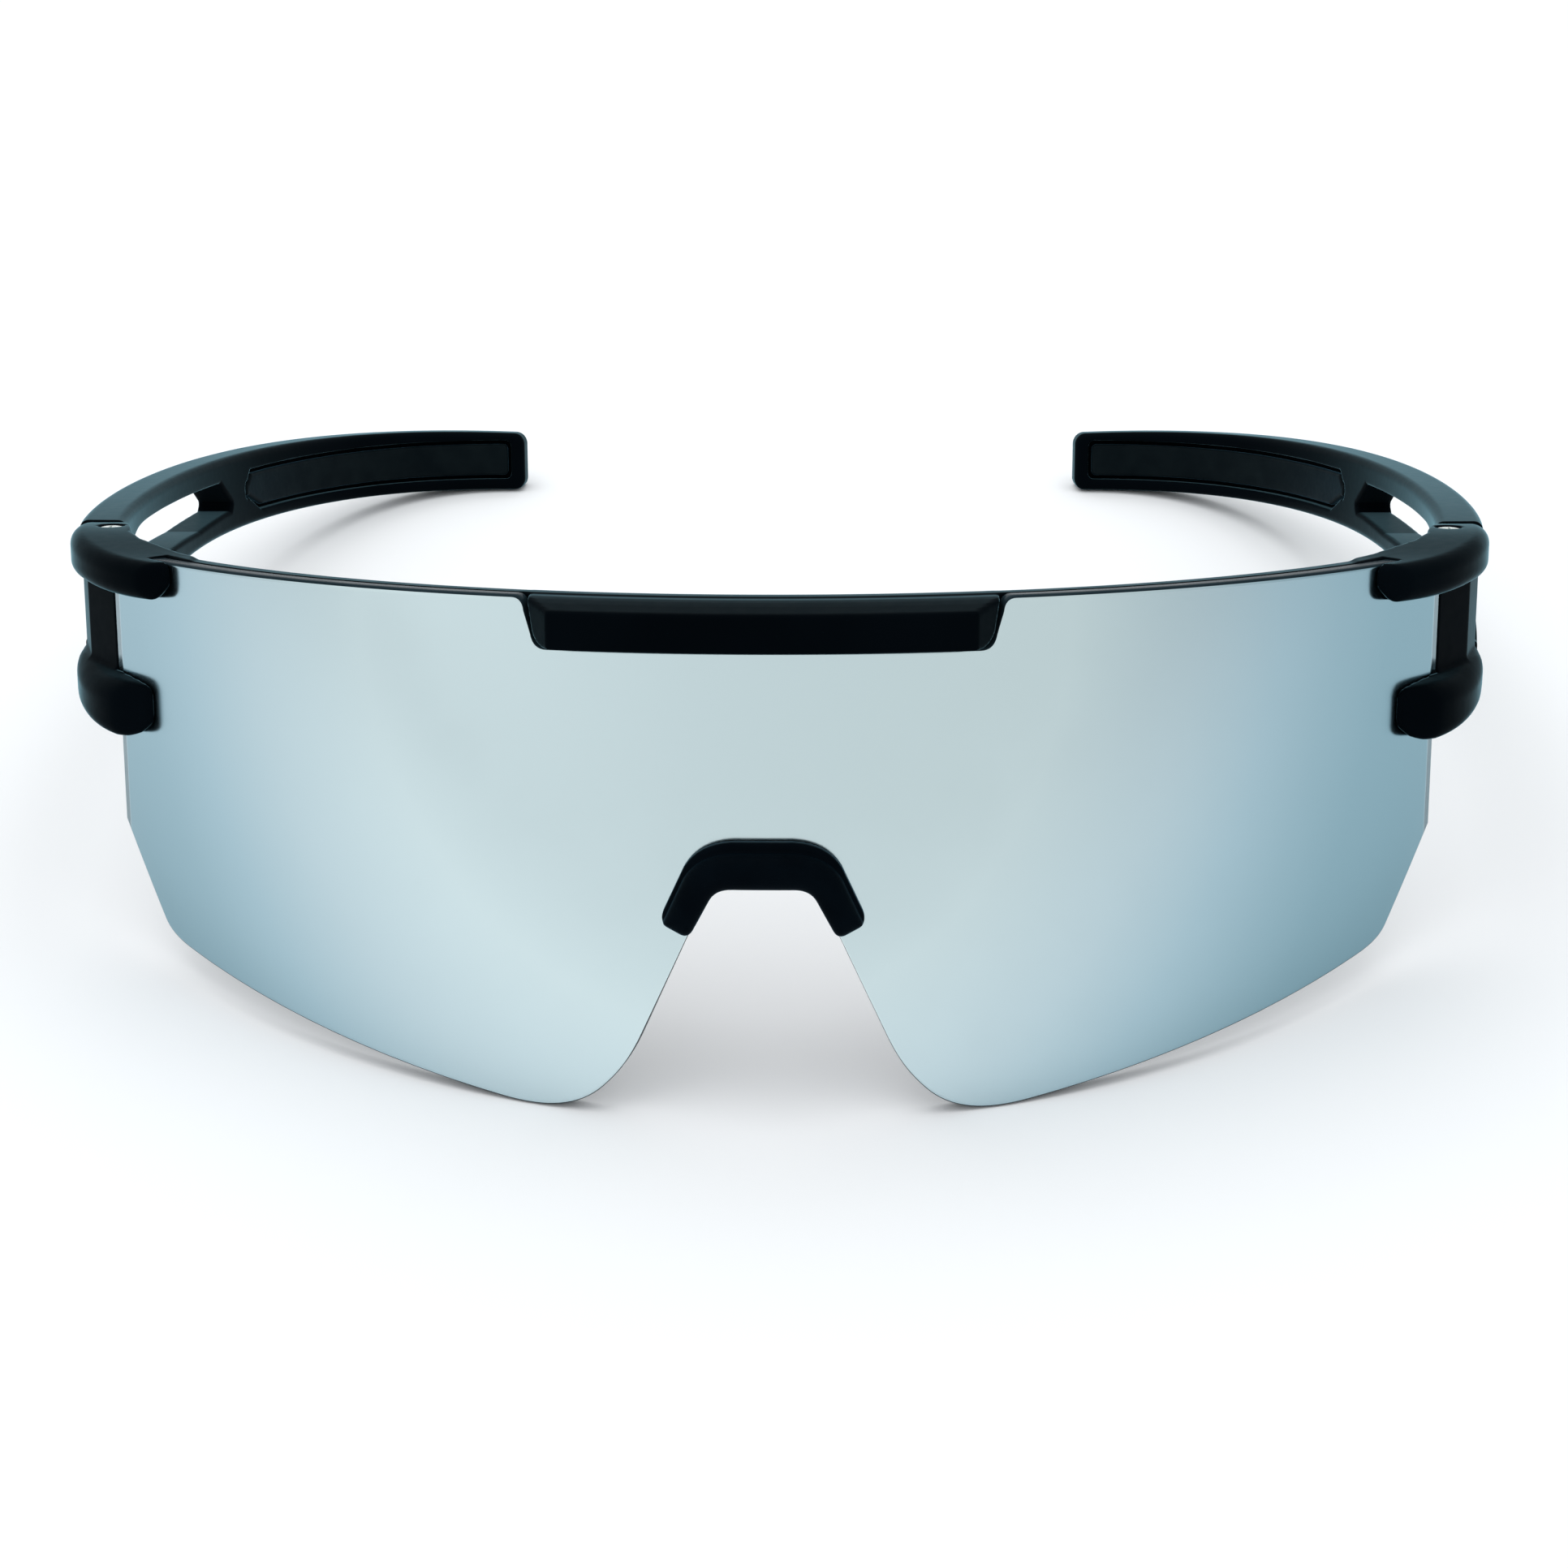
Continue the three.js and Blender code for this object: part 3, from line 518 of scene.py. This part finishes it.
def tongues():
    """The two hinge tongues on a temple's prongs."""
    top = UPPER_HIGH - PLATE - 0.25
    ranges = (66.8, 72), (40, 49.4), (top - 2, top + 0.4)
    (x, y, z), corner = lattice(TONGUE_STEP, *ranges)
    from_axis = np.hypot(x - HINGE[0], y - HINGE[1])
    web = np.maximum(between(x, HINGE[0] - 0.5, HINGE[0] + TONGUE), between(y, HINGE[1], 48.6))
    plate = both(np.minimum(from_axis - TONGUE, web), between(z, top - CLEVIS_SLOT + 0.5, top), 0.15)
    plate = cut(plate, from_axis - SCREW_BORE)

    def upper(a, b, h):
        return np.stack([a, b, h], 1)

    def lower(a, b, h):
        return np.stack([a, b, UPPER_HIGH + LOWER_LOW - h], 1)

    vertices, faces = skin(plate, corner, TONGUE_STEP, lower)
    return [skin(plate, corner, TONGUE_STEP, upper), (vertices, faces[:, ::-1])]


def joined(parts):
    """Several (vertices, faces) as one."""
    start, vertices, faces = 0, [], []
    for v, f in parts:
        vertices.append(v)
        faces.append(f + start)
        start += len(v)
    return np.concatenate(vertices), np.concatenate(faces)


# ---------------------------------------------------------------- nose piece

BRIDGE_STEP, PAD_STEP = 0.15, 0.14
PAD_SPLAY, PAD_TILT = math.radians(22), math.radians(16)
PAD_FOOT = (7.6, -27.3)


def bridge_outline():
    """The saddle and its right leg from the front, as points (x, z)."""
    right = [(2.8, -22)] + quadratic((2.8, -22), (5.9, -22.2), (7.2, -24.4))[1:]
    right += [(9.1, -28.5)] + quadratic((9.1, -28.5), (9.5, -29.5), (8.8, -29.9))[1:]
    right += [(7.5, -30.6)] + quadratic((7.5, -30.6), (6.8, -30.9), (6.4, -30.2))[1:]
    right += [(4.9, -27.4)] + quadratic((4.9, -27.4), (4.3, -26.3), (2.9, -26.3))[1:]
    return [(-4, -22), *right, (-4, -26.3)]


def nose_bridge():
    """A soft saddle over the lens's nose cut: a thin lip, and a raised and rounded middle."""
    ranges = (-11.1, 11.1), (80.4, 88.2), (-31.6, -21.3)
    (along, radius, z), corner = lattice(BRIDGE_STEP, *ranges)
    x = np.abs(radius * np.sin(along / LENS_RADIUS))
    outline = polygon(x, z, bridge_outline())
    lip = both(outline, radius - NOSE_LIP, 0.3)
    lowered = polygon(x, z + 0.9, bridge_outline())
    raised = both(np.maximum(outline, lowered), radius - NOSE_RADIUS, 1.3)
    body = both(either(lip, raised, 0.15), NOSE_BACK - radius, 0.5)
    lens = [(p[0] - 0.25, p[1] + 0.25) for p in lens_bottom() if 1 < p[0] < 16]
    hole = polygon(x, z, [(-4, -24.85), *lens, (-4, -45)])
    groove = np.maximum(between(radius, SLOT_INNER, SLOT_OUTER), -hole)
    body = cut(body, groove, 0.1)
    return skin(body, corner, BRIDGE_STEP, round_lens)


def nose_leg():
    """Turns a piece drawn flat (X thickness, Y backwards, Z up) to its place behind the bridge's leg."""
    foot_x, foot_z = PAD_FOOT
    turned = Matrix.Rotation(-PAD_SPLAY, 4, "Z") @ Matrix.Rotation(-PAD_TILT, 4, "Y")
    return Matrix.Translation((*on_arc(NOSE_BACK, foot_x), foot_z)) @ turned


def on_leg(x, y, z):
    """Design points from the coordinates that a pad or a blade is drawn in."""
    m = np.array(nose_leg())
    return np.stack([x, y, z], 1) @ m[:3, :3].T + m[:3, 3]


def nose_pad():
    """A soft leaf, thin at the rim and fuller in the middle, with a slot for the blade."""
    (x, y, z), corner = lattice(PAD_STEP, (-1.7, 1.7), (0.2, 11.3), (-5.7, 5.7))
    middle, half = 5.5, 5.2
    front = quadratic((0.7, 2.8), (1.9, half), (middle, half))
    turns = np.linspace(0.15, math.pi - 0.15, 20)
    back = [(middle + half * math.sin(a), half * math.cos(a)) for a in turns]
    under = [(p[0], -p[1]) for p in reversed(front)]
    plan = polygon(y, z, front + back + under)
    leaf = both(plan, between(x, -1.3, 1.3), 1.15)
    slot = np.maximum(between(x, -0.7, 0.7), np.maximum(y - 4.45, np.abs(z) - 2.25))
    return skin(cut(leaf, slot, 0.15), corner, PAD_STEP, on_leg)


def nose_blade():
    """The stiff tab on the bridge's leg that carries a pad."""
    (x, y, z), corner = lattice(PAD_STEP, (-0.8, 0.8), (-1.2, 4.6), (-2.4, 2.4))
    blade = both(between(x, -0.45, 0.45), np.maximum(between(y, -0.7, 4.2), np.abs(z) - 2), 0.2)
    return skin(blade, corner, PAD_STEP, on_leg)


# ---------------------------------------------------------------- hinge screws

SCREW_STEP = 0.07
DOME = 4.5
CROSS_HALF_WIDTH, CROSS_HALF_LENGTH, CROSS_DEPTH = 0.13, 0.68, 0.42


def hinge_screw(face, way):
    """A domed head with a cross recess, on a plain shank. way is -1 for a screw that points down."""
    (x, y, depth), corner = lattice(SCREW_STEP, (-1.4, 1.4), (-1.4, 1.4), (-0.2, 5))
    radius = np.hypot(x, y)
    dome = np.sqrt(radius**2 + (depth - DOME - 0.05) ** 2) - DOME
    head = both(np.maximum(radius - SCREW_HEAD, dome), depth - 0.65, 0.08)
    shank = np.maximum(radius - SCREW_SHANK, between(depth, 0.5, 4.3))
    bars = [
        np.maximum(np.abs(a) - CROSS_HALF_WIDTH, np.abs(b) - CROSS_HALF_LENGTH)
        for a, b in ((x, y), (y, x))
    ]
    recess = np.maximum(np.minimum(*bars), depth - CROSS_DEPTH)
    body = cut(np.minimum(head, shank), recess, 0.03)

    def warp(a, b, d):
        return np.stack([HINGE[0] + a, HINGE[1] + b, face + way * d], 1)

    vertices, faces = skin(body, corner, SCREW_STEP, warp)
    return vertices, faces if way > 0 else faces[:, ::-1]


# ---------------------------------------------------------------- materials

GRAIN, GRAIN_DEPTH = 6000, 0.00001
# The part of a noise's range in which it is turned into a colour or a number.
NOISE_LOW, NOISE_HIGH = 0.3, 0.7
PLASTIC_TINTS = (0.0008, 0.0018, 0.0028), (0.0014, 0.0028, 0.0042)
NOSE_TINTS = (0.0006, 0.0018, 0.0032), (0.0012, 0.0030, 0.0050)
GRIP_TINTS = (0.0030, 0.0055, 0.0070), (0.0050, 0.0085, 0.0100)
LENS_TINTS = (0.009, 0.019, 0.025), (0.015, 0.027, 0.034)
STEEL_TINTS = (0.62, 0.66, 0.64), (0.78, 0.82, 0.80)
BRASS_TINTS = (0.50, 0.36, 0.14), (0.62, 0.47, 0.20)
PAPER_TINTS = (0.90, 0.91, 0.92), (0.93, 0.93, 0.94)
PLASTIC_SHEEN, RUBBER_SHEEN = (0.42, 0.80, 0.94, 1), (0.30, 0.72, 1.0, 1)
# Painted shade and painted reflection on the lens: the mirror colour is brightest round this centre and grows
# darker and bluer within this reach, over the coating's own silver-blue.
PAINTED_REFLECTION_CENTRE, PAINTED_REFLECTION_REACH = (-0.005, 0.0, 0.044), (0.075, 2.0, 0.080)
COAT_AND_PAINTED_SHADE_STOPS = [
    (0.00, (0.20, 0.34, 0.40)),
    (0.12, (0.24, 0.38, 0.44)),
    (0.20, (0.29, 0.43, 0.49)),
    (0.28, (0.36, 0.50, 0.56)),
    (0.40, (0.49, 0.61, 0.65)),
    (0.56, (0.64, 0.755, 0.77)),
]


def material(name, **sockets):
    """A principled material; each socket given here is one value for the whole surface, set on the shader."""
    made = bpy.data.materials.new(name)
    made.use_nodes = True
    shader = made.node_tree.nodes["Principled BSDF"]
    for socket, value in sockets.items():
        shader.inputs[socket.replace("_", " ")].default_value = value
    return made, made.node_tree, shader


def feed(tree, shader, **outputs):
    """Links what varies over the surface to the shader's sockets."""
    for socket, output in outputs.items():
        tree.links.new(output, shader.inputs[socket.replace("_", " ")])


def node(tree, kind, **values):
    """A node with its inputs, or else its properties, set by name."""
    made = tree.nodes.new(kind)
    for key, value in values.items():
        if key in made.inputs:
            made.inputs[key].default_value = value
        else:
            setattr(made, key, value)
    return made


def noise(tree, scale, detail=2.0):
    where = node(tree, "ShaderNodeTexCoord")
    made = node(tree, "ShaderNodeTexNoise", Scale=scale, Detail=detail)
    tree.links.new(where.outputs["Object"], made.inputs["Vector"])
    return made.outputs["Fac"]


def spread(tree, factor, low, high, start=NOISE_LOW, end=NOISE_HIGH):
    """Maps a factor between start and end to numbers from low to high."""
    made = node(tree, "ShaderNodeMapRange")
    for i, value in enumerate((start, end, low, high)):
        made.inputs[i + 1].default_value = value
    tree.links.new(factor, made.inputs[0])
    return made.outputs[0]


def ramp(tree, factor, stops):
    """Maps a factor to colours given as (position, colour)."""
    made = node(tree, "ShaderNodeValToRGB")
    elements = made.color_ramp.elements
    while len(elements) < len(stops):
        elements.new(0.5)
    for element, (position, colour) in zip(elements, stops):
        element.position, element.color = position, (*colour, 1)
    tree.links.new(factor, made.inputs[0])
    return made.outputs[0]


def tint(tree, scale, tints):
    """A colour that drifts between two tints over the surface."""
    low, high = tints
    return ramp(tree, noise(tree, scale), [(NOISE_LOW, low), (NOISE_HIGH, high)])


def bump(tree, shader, height, strength, distance):
    made = node(tree, "ShaderNodeBump", Strength=strength, Distance=distance)
    tree.links.new(height, made.inputs["Height"])
    feed(tree, shader, Normal=made.outputs[0])


def matt(name, specular, sheen, sheen_roughness, sheen_tint):
    """A dark matt material that only shines where the surface is seen at a low angle."""
    return material(
        name,
        Specular_IOR_Level=specular,
        Sheen_Weight=sheen,
        Sheen_Roughness=sheen_roughness,
        Sheen_Tint=sheen_tint,
    )


def moulded_plastic():
    """Fine matt texture of a moulded part, with slow changes in colour and gloss."""
    made, tree, shader = matt("frame_plastic", 0.004, 0.75, 0.2, PLASTIC_SHEEN)
    feed(tree, shader, Base_Color=tint(tree, 60, PLASTIC_TINTS))
    feed(tree, shader, Roughness=spread(tree, noise(tree, 900), 0.42, 0.5))
    bump(tree, shader, noise(tree, GRAIN, 1.0), 0.08, GRAIN_DEPTH)
    return made


def soft_rubber(name, tints):
    made, tree, shader = matt(name, 0.01, 0.3, 0.25, RUBBER_SHEEN)
    feed(tree, shader, Base_Color=tint(tree, 300, tints))
    feed(tree, shader, Roughness=spread(tree, noise(tree, 1500), 0.42, 0.55))
    bump(tree, shader, noise(tree, GRAIN, 1.0), 0.08, GRAIN_DEPTH)
    return made


def mirror_coating_and_painted_reflection():
    """Pale silver-blue mirror coating; its darkening and blueing away from a point near its middle is painted
    shade.
    """
    made, tree, shader = material("lens_mirror", Metallic=1.0)
    where = node(tree, "ShaderNodeTexCoord")
    scaled = node(tree, "ShaderNodeMapping")
    scaled.inputs["Location"].default_value = [-c / r for c, r in zip(PAINTED_REFLECTION_CENTRE, PAINTED_REFLECTION_REACH)]
    scaled.inputs["Scale"].default_value = [1 / r for r in PAINTED_REFLECTION_REACH]
    sphere = node(tree, "ShaderNodeTexGradient", gradient_type="SPHERICAL")
    tree.links.new(where.outputs["Object"], scaled.inputs["Vector"])
    tree.links.new(scaled.outputs[0], sphere.inputs[0])
    # The base colour carries painted shade: darker and bluer away from the centre, standing in for the room
    # that the lens mirrors.
    feed(tree, shader, Base_Color=ramp(tree, sphere.outputs["Fac"], COAT_AND_PAINTED_SHADE_STOPS))
    feed(tree, shader, Roughness=spread(tree, noise(tree, 140), 0.14, 0.18))
    return made


def smoked_lens():
    """The lens's tinted body, seen on its rims and from behind."""
    made, tree, shader = material("lens_tint", Specular_IOR_Level=0.012)
    feed(tree, shader, Base_Color=tint(tree, 40, LENS_TINTS))
    feed(tree, shader, Roughness=spread(tree, noise(tree, 200), 0.22, 0.3))
    return made


def metal(name, tints, rough):
    made, tree, shader = material(name, Metallic=1.0)
    feed(tree, shader, Base_Color=tint(tree, 1200, tints))
    feed(tree, shader, Roughness=spread(tree, noise(tree, 4000), rough, rough + 0.12))
    bump(tree, shader, noise(tree, 4000, 1.0), 0.15, 0.00002)
    return made


plastic = moulded_plastic()
nose_rubber = soft_rubber("nose_rubber", NOSE_TINTS)
grip_rubber = soft_rubber("grip_rubber", GRIP_TINTS)
mirror, tinted = mirror_coating_and_painted_reflection(), smoked_lens()
steel = metal("screw_steel", STEEL_TINTS, 0.35)
brass = metal("insert_brass", BRASS_TINTS, 0.28)


# ---------------------------------------------------------------- pieces on the frame

def pair(name, parts, material, body, slot, stands_for):
    """The wearer's left piece, and its mirror image on the right. A body other than the front has a side."""
    for side, (vertices, faces) in (("left", parts), ("right", mirrored(*parts))):
        on = body if body == "front" else f"{body}_{side}"
        nodes = [f"{n}_{side}" for n in stands_for]
        mesh_object(f"{name}_{side}", vertices, faces, material, on, slot, nodes)


def build_front():
    mesh_object("frame_moulding", *front_frame(), plastic, "front", "frame_plastic", ["front_frame"])
    vertices, faces, coated = shield_lens()
    lens = mesh_object("lens_shield", vertices, faces, mirror, "front", "lens_mirror", ["shield_lens"])
    lens.data.materials.append(tinted)
    index = np.ones(len(faces), np.int32)
    index[:coated] = 0
    lens.data.polygons.foreach_set("material_index", index)
    flat = np.zeros(len(faces), bool)
    flat[-2:] = True
    lens.data.polygons.foreach_set("use_smooth", ~flat)
    lens.data.update()


def build_nose():
    blade = nose_blade()
    saddle = joined([nose_bridge(), blade, mirrored(*blade)])
    mesh_object("nose_saddle", *saddle, nose_rubber, "front", "nose_rubber", ["nose_bridge"])
    pair("nose_leaf", nose_pad(), nose_rubber, "front", "nose_rubber", ["nose_pad"])


def build_temples():
    arm = joined([temple_arm(), *tongues()])
    pair("temple", arm, plastic, "temple", "frame_plastic", ["temple_arm"])
    pair("grip_pad", temple_grip(), grip_rubber, "temple", "grip_rubber", ["temple_grip"])


def build_hardware():
    for level, face, way in (("upper", UPPER_HIGH, -1), ("lower", LOWER_LOW, 1)):
        screw = hinge_screw(face, way)
        pair(f"screw_{level}", screw, steel, "front", "steel", [f"hinge_screw_{level}"])
    for name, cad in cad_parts.items():
        if name.startswith("hinge_insert"):
            cad.data.materials.clear()
            cad.data.materials.append(brass)


build_front()
build_nose()
build_temples()
build_hardware()


# ---------------------------------------------------------------- floor, light and camera

FLOOR_HALF = 3
SOFTBOX = {"at": (-0.05, 0.15, 0.7), "target": (0, 0.05, 0), "side": 0.8, "watts": 2.6}
# Colours by position in the room, from its left (0) to its right (1).
ROOM = [
    (0.0, (0.86, 0.90, 0.92)),
    (0.12, (0.94, 0.97, 0.99)),
    (0.4, (0.83, 0.86, 0.88)),
    (0.8, (0.78, 0.81, 0.82)),
    (1.0, (0.70, 0.74, 0.76)),
]
CAMERA = {"at": (8.6, -250.0, 38.1), "yaw": 1.53, "pitch": 12.37, "roll": -0.13, "lens": 65.07}


def staged(name, data):
    """An object of the scene that isn't part of the model."""
    made = bpy.data.objects.new(name, data)
    bpy.context.scene.collection.objects.link(made)
    return made


def floor():
    f = FLOOR_HALF
    mesh = bpy.data.meshes.new("floor")
    mesh.from_pydata([(-f, -f, 0), (f, -f, 0), (f, f, 0), (-f, f, 0)], [], [(0, 1, 2, 3)])
    made, tree, shader = material("floor_paper", Roughness=0.9, Specular_IOR_Level=0.1)
    feed(tree, shader, Base_Color=tint(tree, 3, PAPER_TINTS))
    mesh.materials.append(made)
    staged("floor", mesh)


def softbox():
    """A square light overhead."""
    data = bpy.data.lights.new("top_softbox", "AREA")
    data.size, data.energy = SOFTBOX["side"], SOFTBOX["watts"]
    light = staged("top_softbox", data)
    at, target = Vector(SOFTBOX["at"]), Vector(SOFTBOX["target"])
    light.location = at
    light.rotation_euler = (target - at).to_track_quat("-Z", "Y").to_euler()


def room():
    """A pale room, brighter on its left than on its right."""
    world = bpy.data.worlds.new("studio")
    world.use_nodes = True
    tree = world.node_tree
    split = node(tree, "ShaderNodeSeparateXYZ")
    tree.links.new(node(tree, "ShaderNodeTexCoord").outputs["Generated"], split.inputs[0])
    side = spread(tree, split.outputs["X"], 0, 1, -1, 1)
    tree.links.new(ramp(tree, side, ROOM), tree.nodes["Background"].inputs[0])
    bpy.context.scene.world = world


def camera():
    """The view was solved in the design frame, so it is turned with it."""
    data = bpy.data.cameras.new("camera")
    data.sensor_width, data.lens = 36, CAMERA["lens"]
    data.clip_start, data.clip_end = 0.01, 20
    made = staged("camera", data)
    yaw, pitch, roll = (math.radians(CAMERA[k]) for k in ("yaw", "pitch", "roll"))
    raised = Matrix.Rotation(math.pi / 2 - pitch, 4, "X")
    aim = Matrix.Rotation(yaw, 4, "Z") @ raised @ Matrix.Rotation(roll, 4, "Z")
    made.matrix_world = Matrix.Translation(place @ Vector(CAMERA["at"])) @ turn @ aim
    bpy.context.scene.camera = made


floor()
room()
softbox()
camera()
bpy.context.scene.view_settings.view_transform = "Standard"
